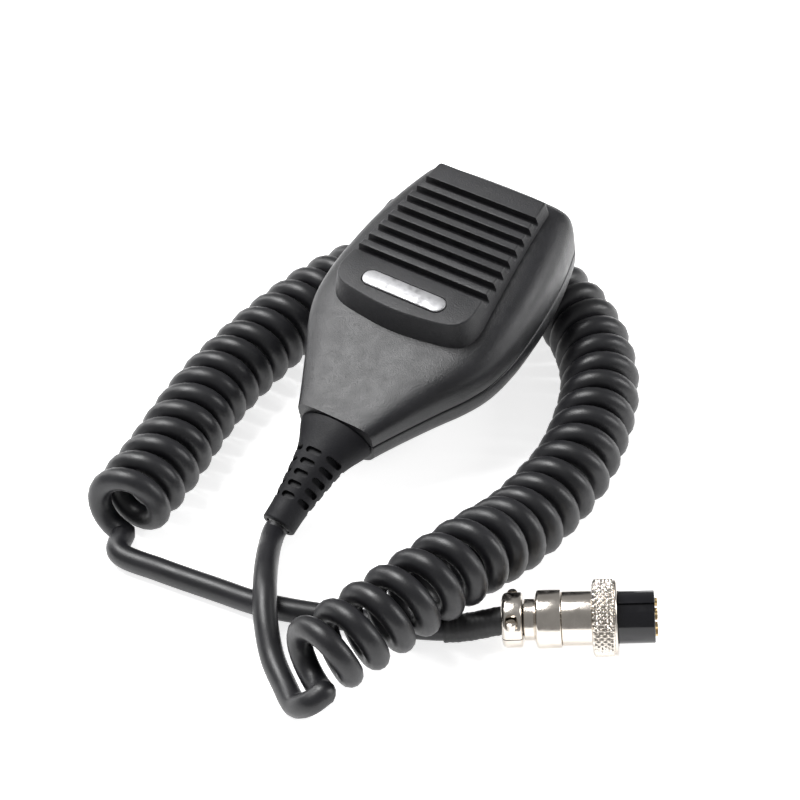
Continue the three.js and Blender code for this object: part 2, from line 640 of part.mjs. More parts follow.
// ---------------------------------------------------------------- cord

function sleeveAlong(curve) {
  const [from, to] = SLEEVE_SPAN;
  const samples = 7;
  const points = [];
  for (let i = 0; i <= samples; i += 1) {
    points.push(curve.getPointAt(from + ((to - from) * i) / samples));
  }
  const shape = circleShape(SLEEVE_RADIUS, 14);
  shape.holes.push(new THREE.Path(circleShape(CORD_RADIUS + SLEEVE_CLEARANCE, 14).getPoints()));
  return new THREE.ExtrudeGeometry(shape, { extrudePath: new THREE.CatmullRomCurve3(points), steps: 8 });
}

// ---------------------------------------------------------------- plug

function plugBackShell() {
  const { clampLength, neckEnd, neckRadius, rearEnd, rearRadius, clampBore, bore } = PLUG;
  return latheX([
    [clampBore, clampLength + GAP], [neckRadius, clampLength + GAP], [neckRadius, neckEnd - 0.5],
    [rearRadius - 1.0, neckEnd], [rearRadius, neckEnd + 0.9], [rearRadius, rearEnd - GAP - 0.3],
    [rearRadius - 0.3, rearEnd - GAP], [bore, rearEnd - GAP], [bore, neckEnd + 2], [clampBore, neckEnd + 2],
    [clampBore, clampLength + GAP],
  ], 36);
}

function plugBarrel() {
  const { rearEnd, frontRadius, ringEnd, bore } = PLUG;
  return latheX(tubeProfile(frontRadius, bore, rearEnd, ringEnd - GAP, 0.25), 36);
}

// One of the two saddles that grip the cord behind the plug, with a flat for its screw.
function cableSaddle(side) {
  const { clampLength, clampRadius, clampBore } = PLUG;
  const ring = solidOf(latheX([
    [clampBore, 0], [clampRadius - 1.4, 0], [clampRadius - 0.2, 0.9], [clampRadius, 2.0],
    [clampRadius, clampLength - 1.0], [clampRadius - 0.9, clampLength], [clampBore, clampLength], [clampBore, 0],
  ], 32));
  const half = solidOf(boxBetween([-1, -9, side > 0 ? GAP / 2 : -9], [clampLength + 1, 9, side > 0 ? 9 : -GAP / 2]));
  const holes = [-1, 1].flatMap((hand) => [
    post(clampLength / 2, hand * SADDLE_SCREW.y, SADDLE_SCREW.shankRadius + GAP, -9, 9, 12),
    post(clampLength / 2, hand * SADDLE_SCREW.y, SADDLE_SCREW.headRadius + GAP, SADDLE_SCREW.seatZ, 9, 12),
  ]);
  return geometryOf(cutAll(ring.intersect(half), holes));
}

function saddleScrew(hand) {
  const { y, shankRadius, headRadius, seatZ, headHeight, tipZ } = SADDLE_SCREW;
  const under = seatZ + 0.1;
  const top = under + headHeight;
  return latheZ([
    [0, tipZ], [shankRadius, tipZ], [shankRadius, under], [headRadius, under], [headRadius, top - 0.4],
    [headRadius - 0.4, top], [0, top],
  ], 12).translate(PLUG.clampLength / 2, hand * y, 0);
}

function couplingRing() {
  const { frontEnd, ringEnd, ringRadius, ringBore } = PLUG;
  return latheX(tubeProfile(ringRadius, ringBore, frontEnd + 0.1, ringEnd, 0.7), 40);
}

function contactInsert() {
  const { rearEnd, ringEnd, length, insertRadius, shankRadius } = PLUG;
  const body = solidOf(latheX([
    [0, rearEnd + 2], [shankRadius, rearEnd + 2], [shankRadius, ringEnd], [insertRadius, ringEnd],
    [insertRadius, length - 0.3], [insertRadius - 0.3, length], [0, length],
  ], 40));
  const key = boxBetween([ringEnd, -1.15, insertRadius - 0.7], [length + 1, 1.15, insertRadius + 2])
    .rotateX(PLUG.keyAngle);
  const holes = socketPlaces().map(([y, z]) => latheX([
    [0, length - SOCKET.depth - 1], [SOCKET.holeRadius, length - SOCKET.depth - 1],
    [SOCKET.holeRadius, length + 1], [0, length + 1],
  ], 12).translate(0, y, z));
  return geometryOf(cutAll(body, [key, ...holes]));
}

// Seven contacts on a circle and one in the middle.
function socketPlaces() {
  const places = [[0, 0]];
  for (let i = 0; i < SOCKET.count - 1; i += 1) {
    const angle = (2 * Math.PI * (i + 0.5)) / (SOCKET.count - 1);
    places.push([SOCKET.circle * Math.sin(angle), SOCKET.circle * Math.cos(angle)]);
  }
  return places;
}

function contactSocket([y, z]) {
  const { length } = PLUG;
  const { outerRadius, innerRadius, depth, proud } = SOCKET;
  return latheX(tubeProfile(outerRadius, innerRadius, length - depth, length + proud), 10).translate(0, y, z);
}

// ---------------------------------------------------------------- assembly

const object = new THREE.Group();
object.position.set(...CENTRING);

function addTo(group, name, shape, material) {
  const geometry = shape instanceof THREE.BufferGeometry ? shape : geometryOf(shape);
  const mesh = new THREE.Mesh(geometry, material);
  mesh.name = name;
  group.add(mesh);
}

function addMicrophone() {
  const mic = new THREE.Group();
  mic.position.set(...MIC_POSITION);
  mic.rotation.x = MIC_TILT;
  object.add(mic);

  addTo(mic, 'front_shell', frontShell(), caseBlack);
  addTo(mic, 'rear_shell', rearShell(), caseBlack);
  addTo(mic, 'label_plate', labelPlate(), labelSilver);
  addTo(mic, 'ptt_bar', pttBar(), buttonBlack);
  addTo(mic, 'ptt_pivot_pin', pttPin(), screwSteel);
  addTo(mic, 'ptt_switch_body', pttSwitchBody(), switchGrey);
  addTo(mic, 'ptt_switch_plunger', pttPlunger(), contactGold);
  addTo(mic, 'up_button', keyCap(1), buttonBlack);
  addTo(mic, 'down_button', keyCap(-1), buttonBlack);
  addTo(mic, 'up_switch', keySwitch(1), switchGrey);
  addTo(mic, 'down_switch', keySwitch(-1), switchGrey);
  addTo(mic, 'circuit_board', circuitBoard(), boardGreen);
  addTo(mic, 'mic_capsule', micCapsule(), capsuleMetal);
  addTo(mic, 'capsule_holder', capsuleHolder(), holderRubber);
  addTo(mic, 'grille_felt', grilleFelt(), feltBlack);
  CASE_SCREWS.forEach(([x, y], i) => {
    addTo(mic, `case_screw_${i + 1}`, panScrew(x, y, CASE_SCREW, CASE_SCREW.headZ, CASE_SCREW.tipZ), screwSteel);
  });
  addTo(mic, 'hanger_stud', hangerStud(), nickel);
  addTo(mic, 'hanger_screw', hangerScrew(), screwSteel);
  addTo(mic, 'strain_relief', strainRelief(), bootGrey);
  addTo(mic, 'inner_lead', innerLead(), cordBlack);
  addTo(mic, 'cord_clamp', cordClamp(), screwSteel);
  [-1, 1].forEach((side, i) => {
    const headZ = -3.6 - GAP - CORD_CLAMP.thickness;
    const screw = panScrew(side * CORD_CLAMP.screwX, CORD_CLAMP.y, CLAMP_SCREW, headZ, headZ + CLAMP_SCREW.reach);
    addTo(mic, `cord_clamp_screw_${i + 1}`, screw, screwSteel);
  });
}

function addCord() {
  const plugLead = curveThrough(PLUG_LEAD);
  addTo(object, 'mic_lead', tubeAlong(curveThrough(MIC_LEAD), CORD_RADIUS, 10, 8), cordBlack);
  addTo(object, 'curly_cord', tubeAlong(curveThrough(COIL_AXIS), COIL_RADIUS, 14, 40), cordBlack);
  addTo(object, 'plug_lead', tubeAlong(plugLead, CORD_RADIUS, 10, 14), cordBlack);
  addTo(object, 'heat_shrink_sleeve', sleeveAlong(plugLead), sleeveBlack);
}

function addPlug() {
  const rear = new THREE.Vector3(...PLUG_REAR);
  const direction = new THREE.Vector3(...PLUG_FRONT).sub(rear).normalize();
  const plug = new THREE.Group();
  plug.position.copy(rear);
  plug.rotation.set(0, -Math.asin(direction.z), Math.atan2(direction.y, direction.x), 'ZYX');
  object.add(plug);

  addTo(plug, 'cable_saddle_upper', cableSaddle(1), nickel);
  addTo(plug, 'cable_saddle_lower', cableSaddle(-1), nickel);
  addTo(plug, 'saddle_screw_1', saddleScrew(-1), nickel);
  addTo(plug, 'saddle_screw_2', saddleScrew(1), nickel);
  addTo(plug, 'plug_back_shell', plugBackShell(), nickel);
  addTo(plug, 'plug_barrel', plugBarrel(), nickel);
  addTo(plug, 'coupling_ring', couplingRing(), nickel);
  addTo(plug, 'contact_insert', contactInsert(), insertBlack);
  socketPlaces().forEach((place, i) => addTo(plug, `contact_socket_${i + 1}`, contactSocket(place), contactGold));
}

addMicrophone();
addCord();
addPlug();

export default object;
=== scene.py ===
import math

import bmesh
import bpy
from mathutils import Matrix, Vector


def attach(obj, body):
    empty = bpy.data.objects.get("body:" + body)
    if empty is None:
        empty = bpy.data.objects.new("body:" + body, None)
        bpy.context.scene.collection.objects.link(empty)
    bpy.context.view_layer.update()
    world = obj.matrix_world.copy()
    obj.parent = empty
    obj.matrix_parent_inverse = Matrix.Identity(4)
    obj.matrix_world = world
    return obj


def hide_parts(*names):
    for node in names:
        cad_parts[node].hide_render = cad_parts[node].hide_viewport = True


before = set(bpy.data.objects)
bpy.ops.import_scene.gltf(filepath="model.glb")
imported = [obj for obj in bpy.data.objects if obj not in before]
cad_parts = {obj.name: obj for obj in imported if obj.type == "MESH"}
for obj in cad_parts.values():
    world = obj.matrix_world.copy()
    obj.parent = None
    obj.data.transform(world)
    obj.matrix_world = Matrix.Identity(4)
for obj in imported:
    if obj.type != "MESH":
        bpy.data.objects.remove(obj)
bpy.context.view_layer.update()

MM = 0.001
GAP = 0.3
UP = Vector((0, 0, 1))

# ---------------------------------------------------------------- driving dimensions

# Where the microphone, the cord and the plug lie, as in the CAD.
CENTRING = Vector((-0.67, 1.5, 0))
MIC_POSITION = Vector((1.2, 28.0, 29.6)) + CENTRING
MIC_TILT = math.radians(12)
PLUG_REAR = Vector((68.4, -56.0, 7.2)) + CENTRING
PLUG_FRONT = Vector((101.1, -37.0, 11.1)) + CENTRING

TAIL_Y = -60.0
OUTLINE = [
    (11.7, TAIL_Y), (13.3, -56.8), (16.9, -50), (21.0, -42.5), (25.3, -35), (28.1, -27.5), (29.2, -18),
    (29.0, -8), (28.2, 1), (26.6, 11), (24.3, 20), (22.6, 24.4), (19.6, 26.6), (10.5, 27.4), (0, 27.6),
]
FRONT_HEIGHT = [
    (TAIL_Y, 6.0), (-50, 7.9), (-40, 9.6), (-30, 11.2), (-20, 12.6), (-10, 13.6), (5, 14.8), (30, 16.2),
]
REAR_DEPTH = [(TAIL_Y, 8.3), (-50, 9.3), (-40, 10.8), (-30, 12.4), (-20, 13.4), (0, 14.5), (30, 14.5)]
FRONT_POWER = 4.7
REAR_POWER = 3.0
RIM_RADIUS = 0.35

FACE_Z = 18.5
BLOCK = {
    "topY": 20.8, "topHalf": 17.0, "cornerY": -20.5, "cornerHalf": 20.8, "bottomY": -29.9, "corner": 1.0,
    "edgeRadius": 0.6, "draft": 2.0, "rootZ": 8.0,
}
GROOVE = {"count": 8, "pitch": 4.18, "firstY": 14.6, "width": 2.1, "depth": 2.6, "lip": 0.28}
SOUND_HOLE = {"radius": 0.8, "rows": [2, 3, 4, 5], "columns": [-7.5, -2.5, 2.5, 7.5], "depth": 1.6}
LABEL = {"y": -23.6, "length": 25.4, "width": 5.0, "top": 18.95, "bottom": 18.05, "recess": 0.55}

PTT = {
    "headY": 14.2, "tailY": -16.5, "outerX": -30.3, "tailOuterX": -30.0, "innerX": -22.4,
    "lowZ": -4.6, "highZ": 5.2, "corner": 2.2, "openingX": -19.8,
}
KEY = {"x": 8.2, "z": 5.0, "width": 9.0, "height": 4.0, "outerY": 28.9, "innerY": 22.0}

BOOT = {
    "startY": TAIL_Y - GAP, "startZ": -1.2, "endY": -88.6, "endZ": -7.2, "boreRadius": 3.4,
    "squareLength": 9, "endRadius": 0.5,
}
BOOT_SECTIONS = [          # distance along its axis, half width, half height
    (0, 11.1, 6.9), (2.5, 9.9, 6.6), (5.5, 8.1, 6.2), (8.5, 6.9, 6.0), (13, 6.2, 5.6), (18, 5.5, 5.2),
    (22.6, 4.9, 4.8), (23.2, 4.75, 4.75), (28.6, 4.65, 4.65),
]
BOOT_SLOT = {"rows": 5, "columns": 6, "first": 8.4, "pitch": 3.3, "width": 1.75, "depth": 1.3, "span": 0.78}

CORD_RADIUS = 3.05
COIL_RADIUS = 10.8
COIL_TURNS = 47 + 1 / 6
COIL_START_TURN = -150 / 360
COIL_PITCH_CHANGE = 0.035        # the turns stand this part wider apart than the mean at the near end
STEPS_PER_TURN = 24
MIC_LEAD = [
    (1.2, -57.6, 4.1), (1.4, -59.4, 3.5), (3.6, -63.8, 4.5), (7.0, -69.4, 6.8), (11.4, -76.2, 8.9),
    (15.7, -82.4, 9.5), (20.6, -88.8, 7.5), (27.0, -95.0, 4.1), (34.4, -100.2, 3.2), (40.4, -104.2, 3.9),
    (44.9, -104.6, 7.6),
]
COIL_AXIS = [
    (40.6, -99.6, 13.6), (46.5, -83.7, 16.2), (51.6, -66.8, 17.7), (54.8, -50.0, 16.6), (56.6, -32.0, 12.2),
    (57.0, -16.0, 10.9), (56.2, -1.0, 10.9), (51.4, 17.2, 10.9), (44.4, 32.2, 10.9), (32.2, 46.2, 10.9),
    (16.2, 56.2, 10.9), (-2.8, 59.2, 10.9), (-20.8, 52.8, 10.9), (-32.3, 38.4, 10.9), (-38.2, 21.6, 10.9),
    (-40.4, 3.6, 10.9), (-40.6, -14.9, 10.9), (-39.6, -31.0, 10.9), (-36.6, -47.0, 10.9),
    (-33.4, -61.8, 10.9), (-30.9, -80.4, 10.9),
]
PLUG_LEAD = [
    (-31.4, -84.9, 3.1), (-27.0, -86.9, 3.1), (-14.5, -85.8, 3.1), (1.6, -83.4, 3.1), (10.9, -82.0, 3.1),
    (17.8, -80.1, 3.1), (27.9, -76.2, 3.1), (41.0, -70.6, 3.1), (53.4, -65.2, 3.7), (60.4, -60.8, 4.2),
    (68.6, -55.9, 7.2), (73.6, -53.0, 7.8),
]
SLEEVE_RADIUS = 3.7
SLEEVE_SPAN = (0.815, 0.955)

PLUG = {
    "clampLength": 5.1, "clampRadius": 6.8, "clampBore": 4.0, "neckEnd": 8.3, "neckRadius": 5.1,
    "rearEnd": 14.6, "rearRadius": 7.2, "frontEnd": 21.9, "frontRadius": 6.7, "bore": 5.5,
    "ringEnd": 28.2, "ringRadius": 9.5, "ringBore": 7.1, "length": 37.2, "insertRadius": 6.45,
    "shankRadius": 5.1, "keyAngle": 23,
}
BAND_SEAM = 0.05                 # all that shows between the plug's two plain bands
KNURL = {"from": 0.6, "to": 5.1, "depth": 0.5, "teeth": 36, "steps": 540}
SADDLE_SCREW = {"y": 5.2, "headRadius": 1.3, "seatZ": 3.2, "headHeight": 1.2}
SOCKET = {"count": 8, "circle": 3.9, "holeRadius": 1.2, "depth": 7.4}

CAMERA = Vector((270.13, -402.80, 426.76)) + CENTRING
LOOK_AT = Vector((-2.79, 5.27, 0)) + CENTRING
CAMERA_LENS = 106.1              # on a 36 mm sensor
WORLD_STRENGTH = 0.30
FLOOR_HALF_SIZE = 3.0            # metres
FLOOR_GLOW = 0.75
FLOOR_CLEARANCE = 0.0002         # metres below what lies on it

# ---------------------------------------------------------------- shape helpers

MIC_SPACE = Matrix.Translation(MIC_POSITION) @ Matrix.Rotation(MIC_TILT, 4, "X")


def plug_space():
    """The plug's own frame: +X from its cable clamp to its mating face."""
    along = (PLUG_FRONT - PLUG_REAR).normalized()
    across = UP.cross(along).normalized()
    turn = Matrix((along, across, along.cross(across))).transposed().to_4x4()
    return Matrix.Translation(PLUG_REAR) @ turn


PLUG_SPACE = plug_space()
OBJECT_SPACE = Matrix.Translation(CENTRING)


def new_object(name, verts, faces, material, space, sharp=35):
    """A mesh from points in millimetres, in metres in the object's frame, smooth but for its sharp edges."""
    to_metres = Matrix.Scale(MM, 4) @ space
    mesh = bpy.data.meshes.new(name)
    mesh.from_pydata([to_metres @ Vector(v) for v in verts], [], faces)
    obj = bpy.data.objects.new(name, mesh)
    bpy.context.scene.collection.objects.link(obj)
    mesh.materials.append(material)
    tidy_mesh(obj, sharp)
    return obj


def tidy_mesh(obj, sharp):
    """Faces outwards, smooth shading, edges over the angle kept sharp."""
    mesh = obj.data
    work = bmesh.new()
    work.from_mesh(mesh)
    bmesh.ops.remove_doubles(work, verts=work.verts, dist=1e-7)
    bmesh.ops.recalc_face_normals(work, faces=work.faces)
    work.to_mesh(mesh)
    work.free()
    mesh.shade_smooth()
    mesh.set_sharp_from_angle(angle=math.radians(sharp))


def loft(rings):
    """Points and faces of a closed body through rings of equal length."""
    count = len(rings[0])
    verts = [point for ring in rings for point in ring]
    faces = []
    for k in range(len(rings) - 1):
        for i in range(count):
            j = (i + 1) % count
            faces.append((k * count + i, k * count + j, (k + 1) * count + j, (k + 1) * count + i))
    faces.append(tuple(range(count))[::-1])
    faces.append(tuple((len(rings) - 1) * count + i for i in range(count)))
    return verts, faces


def lathe(profile, sides):
    """A round body about +X through (radius, x) pairs, as points and faces; a closed profile makes a tube."""
    closed = profile[0] == profile[-1]
    stations = profile[:-1] if closed else profile
    rings = []
    for radius, x in stations:
        rings.append([
            (x, radius * math.cos(a), radius * math.sin(a))
            for a in (2 * math.pi * i / sides for i in range(sides))
        ])
    if not closed:
        return loft(rings)
    verts, faces = loft(rings + [rings[0]])
    return verts, faces[:-2]


def joined(*bodies):
    """Several (points, faces) bodies as one."""
    verts, faces = [], []
    for more_verts, more_faces in bodies:
        start = len(verts)
        verts += list(more_verts)
        faces += [tuple(start + i for i in face) for face in more_faces]
    return verts, faces


def cut(obj, cutters, sharp=35):
    """obj less the cutters, which are removed."""
    for cutter in cutters:
        modifier = obj.modifiers.new("cut", "BOOLEAN")
        modifier.operation = "DIFFERENCE"
        modifier.solver = "EXACT"
        modifier.object = cutter
    apply_modifiers(obj, sharp)
    for cutter in cutters:
        bpy.data.objects.remove(cutter)


def rounded(obj, width, segments=3, sharp=35):
    """Every edge over 30 degrees rounded to a width in millimetres."""
    modifier = obj.modifiers.new("round", "BEVEL")
    modifier.width = width * MM
    modifier.segments = segments
    modifier.limit_method = "ANGLE"
    modifier.angle_limit = math.radians(30)
    apply_modifiers(obj, sharp)


def apply_modifiers(obj, sharp):
    graph = bpy.context.evaluated_depsgraph_get()
    graph.update()
    mesh = bpy.data.meshes.new_from_object(obj.evaluated_get(graph))
    obj.modifiers.clear()
    obj.data = mesh
    mesh.shade_smooth()
    mesh.set_sharp_from_angle(angle=math.radians(sharp))


def box_between(low, high):
    corners = [(x, y, z) for x in (low[0], high[0]) for y in (low[1], high[1]) for z in (low[2], high[2])]
    faces = [(0, 1, 3, 2), (4, 6, 7, 5), (0, 4, 5, 1), (2, 3, 7, 6), (0, 2, 6, 4), (1, 5, 7, 3)]
    return corners, faces


def prism(outline, low, high, axis):
    """A straight body over a flat outline: axis Z stands it up, axis X or Y lays it along that axis."""
    place = {
        "X": lambda a, b, c: (c, a, b),
        "Y": lambda a, b, c: (a, c, b),
        "Z": lambda a, b, c: (a, b, c),
    }[axis]
    return loft([[place(a, b, low) for a, b in outline], [place(a, b, high) for a, b in outline]])


def value_at(table, station):
    """Straight-line interpolation in a list of (station, value)."""
    for (start, low), (end, high) in zip(table, table[1:]):
        if station <= end:
            t = min(max((station - start) / (end - start), 0), 1)
            return low + (high - low) * t
    return table[-1][1]


def smooth_value_at(table, station, reach=4.0):
    """The same, averaged over a short reach so that no crease shows."""
    samples = [value_at(table, station + reach * (i / 4 - 1)) for i in range(9)]
    return sum(samples) / len(samples)


def curve_through(points, per_span):
    """A smooth curve through every point, as a dense list of points."""
    points = [Vector(p) for p in points]
    padded = [2 * points[0] - points[1], *points, 2 * points[-1] - points[-2]]
    dense = []
    for a, b, c, d in zip(padded, padded[1:], padded[2:], padded[3:]):
        for i in range(per_span):
            t = i / per_span
            dense.append(0.5 * (
                2 * b + (c - a) * t + (2 * a - 5 * b + 4 * c - d) * t ** 2 + (3 * b - a - 3 * c + d) * t ** 3
            ))
    dense.append(points[-1])
    return dense


def lengths_along(points):
    total = [0.0]
    for a, b in zip(points, points[1:]):
        total.append(total[-1] + (b - a).length)
    return total


def spaced(points, count):
    """count + 1 points at equal distances along a dense line."""
    total = lengths_along(points)
    found, k = [], 0
    for i in range(count + 1):
        goal = total[-1] * i / count
        while k < len(points) - 2 and total[k + 1] < goal:
            k += 1
        step = total[k + 1] - total[k]
        found.append(points[k].lerp(points[k + 1], (goal - total[k]) / step if step else 0))
    return found


# ---------------------------------------------------------------- materials

def node_material(name):
    material = bpy.data.materials.new(name)
    material.use_nodes = True
    shader = material.node_tree.nodes["Principled BSDF"]
    return material, material.node_tree, shader


def noise(tree, scale, detail=4.0, roughness=0.55):
    """Noise in the object's own space, with its scale in features per metre."""
    where = tree.nodes.new("ShaderNodeTexCoord")
    texture = tree.nodes.new("ShaderNodeTexNoise")
    texture.inputs["Scale"].default_value = scale
    texture.inputs["Detail"].default_value = detail
    texture.inputs["Roughness"].default_value = roughness
    tree.links.new(where.outputs["Object"], texture.inputs["Vector"])
    return texture.outputs["Fac"]


def spread(tree, source, low, high):
    """A 0-1 value spread over the range low to high."""
    remap = tree.nodes.new("ShaderNodeMapRange")
    remap.inputs["From Min"].default_value = 0.3
    remap.inputs["From Max"].default_value = 0.7
    remap.inputs["To Min"].default_value = low
    remap.inputs["To Max"].default_value = high
    tree.links.new(source, remap.inputs["Value"])
    return remap.outputs["Result"]


def tint(tree, shader, source, dark, light):
    mix = tree.nodes.new("ShaderNodeMix")
    mix.data_type = "RGBA"
    mix.inputs["A"].default_value = (*dark, 1)
    mix.inputs["B"].default_value = (*light, 1)
    tree.links.new(spread(tree, source, 0, 1), mix.inputs["Factor"])
    tree.links.new(mix.outputs["Result"], shader.inputs["Base Color"])


def bump(tree, shader, source, distance, strength=1.0):
    """A bump of that height in metres."""
    node = tree.nodes.new("ShaderNodeBump")
    node.inputs["Distance"].default_value = distance
    node.inputs["Strength"].default_value = strength
    tree.links.new(source, node.inputs["Height"])
    tree.links.new(node.outputs["Normal"], shader.inputs["Normal"])
    return node


def moulded(name, color, roughness, grain=2600, height=0.00003, variation=0.25, specular=0.5):
    """Black moulded plastic or rubber: fine texture, slight variation in colour and in shine."""
    material, tree, shader = node_material(name)
    shader.inputs["Base Color"].default_value = (*color, 1)
    shader.inputs["Roughness"].default_value = roughness
    shader.inputs["Specular IOR Level"].default_value = specular
    coarse = noise(tree, 90, 5)
    dark = [c * (1 - variation) for c in color]
    light = [c * (1 + variation) for c in color]
    tint(tree, shader, coarse, dark, light)
    shine = spread(tree, noise(tree, 240, 3), roughness - 0.05, roughness + 0.06)
    tree.links.new(shine, shader.inputs["Roughness"])
    bump(tree, shader, noise(tree, grain, 3, 0.6), height)
    return material


def plated(name, color, roughness, scratch_height=0.000004):
    """Bright plating with a faint uneven polish and fine handling marks."""
    material, tree, shader = node_material(name)
    shader.inputs["Base Color"].default_value = (*color, 1)
    shader.inputs["Metallic"].default_value = 1.0
    shader.inputs["Roughness"].default_value = roughness
    tint(tree, shader, noise(tree, 160, 5), [c * 0.9 for c in color], [min(1, c * 1.06) for c in color])
    shine = spread(tree, noise(tree, 420, 6, 0.7), roughness * 0.6, roughness * 1.6)
    tree.links.new(shine, shader.inputs["Roughness"])
    bump(tree, shader, noise(tree, 1500, 4, 0.7), scratch_height)
    return material


MATERIALS = {
    "case": moulded("case_black", (0.010, 0.010, 0.012), 0.38, grain=2600, height=0.0001),
    "block": moulded("grille_black", (0.010, 0.010, 0.012), 0.46, grain=2400, height=0.00011),
    "button": moulded("button_black", (0.010, 0.010, 0.012), 0.40, grain=3000, height=0.00003),
    "boot": moulded("boot_rubber", (0.008, 0.008, 0.010), 0.58, grain=2200, height=0.00006, specular=0.25),
    "cord": moulded("cord_black", (0.010, 0.010, 0.012), 0.40, grain=1800, height=0.00003),
    "sleeve": moulded("sleeve_black", (0.014, 0.014, 0.015), 0.50, grain=900, height=0.00004),
    "insert": moulded("insert_black", (0.006, 0.006, 0.008), 0.12, grain=700, height=0.000006),
    "dark": moulded("inner_black", (0.006, 0.006, 0.006), 0.80),
    "board": moulded("board_green", (0.02, 0.10, 0.04), 0.5, grain=600),
    "switch": moulded("switch_grey", (0.10, 0.10, 0.11), 0.5),
    "label": plated("label_silver", (0.40, 0.40, 0.41), 0.50, scratch_height=0.00003),
    "nickel": plated("nickel_plate", (0.70, 0.65, 0.59), 0.16),
    "screw": plated("screw_steel", (0.40, 0.40, 0.41), 0.32),
    "contact": plated("contact_gold", (0.70, 0.52, 0.26), 0.28),
    "capsule": plated("capsule_metal", (0.55, 0.55, 0.56), 0.4),
}


# ---------------------------------------------------------------- the shells

def body_outline(count):
    """The outline in the parting plane, from the tail's right side round the head to its left side."""
    right = spaced(curve_through([(x, y, 0) for x, y in OUTLINE], 24), count)
    left = [Vector((-p.x, p.y, 0)) for p in right[-2::-1]]
    return right + left


def body_shell(name, heights, power, side, material):
    """One outer shell, from its rounded rim at the parting plane to its middle."""
    outline = body_outline(110)
    shrinks = [(k / 44) ** 2.4 for k in range(44)] + [0.985]
    rings = [[(p.x * 0.93, p.y * 0.97, side * GAP / 2) for p in outline]]
    for back, lift in ((RIM_RADIUS, 0.0), (RIM_RADIUS * 0.3, RIM_RADIUS * 0.3)):
        rings.append([(p.x - math.copysign(back, p.x), p.y, side * (GAP / 2 + lift)) for p in outline])
    for shrink in shrinks:
        rise = (1 - (1 - shrink) ** power) ** (1 / power)
        ring = []
        for p in outline:
            y = p.y - shrink * p.y if p.y > 0 else p.y
            height = smooth_value_at(heights, y)
            z = GAP / 2 + RIM_RADIUS + (height - GAP / 2 - RIM_RADIUS) * rise
            ring.append((p.x * (1 - shrink), y, side * z))
        rings.append(ring)
    verts, faces = loft(rings)
    return new_object(name, verts, faces, material, MIC_SPACE, sharp=50)


def block_outline(steps):
    """The top edge of the grille block, anticlockwise."""
    top_y, half, corner = BLOCK["topY"], BLOCK["topHalf"], BLOCK["corner"]
    edge_y, edge = BLOCK["cornerY"], BLOCK["cornerHalf"]
    low = BLOCK["bottomY"]

    def bend(a, b, c, d):
        for i in range(1, steps + 1):
            t = i / steps
            u = 1 - t
            yield tuple(
                u ** 3 * a[k] + 3 * u * u * t * b[k] + 3 * u * t * t * c[k] + t ** 3 * d[k]
                for k in (0, 1)
            )

    right = [(0.0, low - 0.35)]
    right += bend((0, low - 0.35), (5, low - 0.35), (9, low + 0.3), (13.2, low + 0.9))
    right += bend((13.2, low + 0.9), (18.6, low + 1.7), (edge + 0.4, -26.4), (edge, edge_y))
    span = 14
    for i in range(1, span + 1):
        t = i / span
        right.append((edge + (half + 0.1 - edge) * t, edge_y + (top_y - corner - edge_y) * t))
    right += bend(
        (half + 0.1, top_y - corner), (half, top_y - 0.4), (half - 0.4, top_y), (half - corner, top_y),
    )
    right.append((half / 2, top_y))
    left = [(-x, y) for x, y in right[:0:-1]]
    return right + [(0.0, top_y)] + left


def moved_out(points, distance):
    """A closed anticlockwise outline moved outwards."""
    moved = []
    for i, (x, y) in enumerate(points):
        before = Vector(points[i - 1])
        after = Vector(points[(i + 1) % len(points)])
        here = Vector((x, y))
        along = (here - before).normalized() + (after - here).normalized()
        normal = Vector((along.y, -along.x)).normalized()
        moved.append(here + normal * distance)
    return moved


def groove_cutter(head_side):
    """A cutter across the block with a flared mouth, which leaves a rounded lip on both sides."""
    depth, width, lip = GROOVE["depth"], GROOVE["width"], GROOVE["lip"]
    low, high = head_side - width, head_side
    floor_z = FACE_Z - depth
    outline = [(low + 0.3, floor_z), (high - 0.3, floor_z), (high, floor_z + 0.3), (high, FACE_Z - lip)]
    arc = [math.pi / 2 * k / 4 for k in range(1, 5)]
    outline += [(high + lip - lip * math.cos(a), FACE_Z - lip + lip * math.sin(a)) for a in arc]
    outline += [(high + lip + 0.02, FACE_Z + 1), (low - lip - 0.02, FACE_Z + 1)]
    outline += [(low - lip + lip * math.cos(a), FACE_Z - lip + lip * math.sin(a)) for a in arc[::-1]]
    outline += [(low, FACE_Z - lip), (low, floor_z + 0.3)]
    return prism(outline, -40, 40, "X")


def disc(x, y, radius, sides=20):
    return [
        (x + radius * math.cos(a), y + radius * math.sin(a))
        for a in (2 * math.pi * i / sides for i in range(sides))
    ]


def stadium(grow, steps=14):
    """The label's outline, grown on every side."""
    radius = LABEL["width"] / 2 + grow
    reach = (LABEL["length"] - LABEL["width"]) / 2
    half = [math.pi * (k / steps - 0.5) for k in range(steps + 1)]
    right = [(reach + radius * math.cos(a), LABEL["y"] + radius * math.sin(a)) for a in half]
    left = [(-x, 2 * LABEL["y"] - y) for x, y in right]
    return right + left


